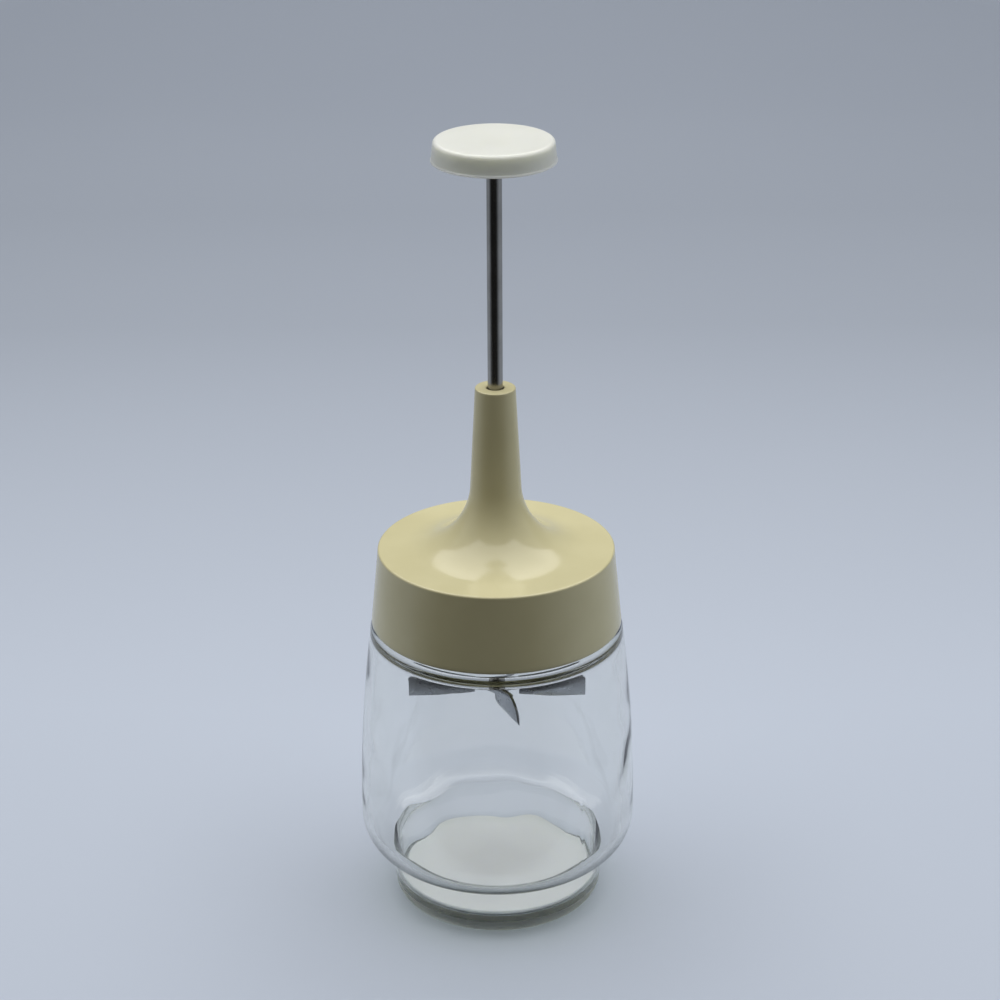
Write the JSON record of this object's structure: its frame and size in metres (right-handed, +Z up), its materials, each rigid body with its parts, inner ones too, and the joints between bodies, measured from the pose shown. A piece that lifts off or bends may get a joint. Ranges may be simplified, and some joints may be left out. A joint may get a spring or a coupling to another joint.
{
  "type": "hand nut chopper",
  "caption": "Hand nut chopper: round glass jar with a screw-on plastic lid and a knob on a sprung rod that drives crossed steel blades down onto a disc on the jar's floor.",
  "frame": {"origin": "centre of the foot, on the table plane", "axes": "+Z up along the rod; -Y towards the front, where the cross blade's near tip points to the right"},
  "size_m": [0.0906, 0.0906, 0.2588],
  "materials": {
    "clear_glass": "clear pressed glass, faintly wavy, grey-green where thick",
    "white_disc": "white moulded plastic with faint wear",
    "ivory_plastic": "ivory moulded plastic, smooth gloss",
    "white_plastic": "off-white moulded plastic, soft gloss",
    "bright_steel": "bright drawn rod",
    "blade_steel": "stamped sheet with a ground edge",
    "spring_steel": "drawn spring wire",
    "plain_steel": "plain stamped steel"
  },
  "bodies": {
    "jar": {"glass_jar": "clear_glass", "chopping_disc": "white_disc"},
    "guard": {"splash_guard": "ivory_plastic"},
    "lid": {"screw_lid": "ivory_plastic", "return_spring": "spring_steel"},
    "spring_top": {"spring_washer": "plain_steel"},
    "plunger": {"plunger_rod": "bright_steel", "knob": "white_plastic", "retaining_ring": "spring_steel", "long_blade": "blade_steel", "cross_blade": "blade_steel", "blade_washer": "plain_steel"}
  },
  "joints": [
    {"name": "lid_rise", "type": "slide", "parent": "jar", "child": "guard", "axis": [0, 0, 1], "range_m": [0, 0.0046]},
    {"name": "lid_turn", "type": "hinge", "parent": "guard", "child": "lid", "pos_m": [0, 0, 0.1125], "axis": [0, 0, 1], "range_deg": [0, 390]},
    {"name": "plunger_press", "type": "slide", "parent": "lid", "child": "spring_top", "axis": [0, 0, -1], "range_m": [0, 0.0618], "stiffness_N_per_m": 131, "springref_m": -0.0115, "deforming": ["return_spring"]},
    {"name": "plunger_spin", "type": "hinge", "parent": "spring_top", "child": "plunger", "pos_m": [0, 0, 0.1758], "axis": [0, 0, 1], "continuous": true}
  ],
  "couplings": [
    {"joint": "lid_rise", "follows": "lid_turn", "m_per_rad": 0.00067322}
  ]
}
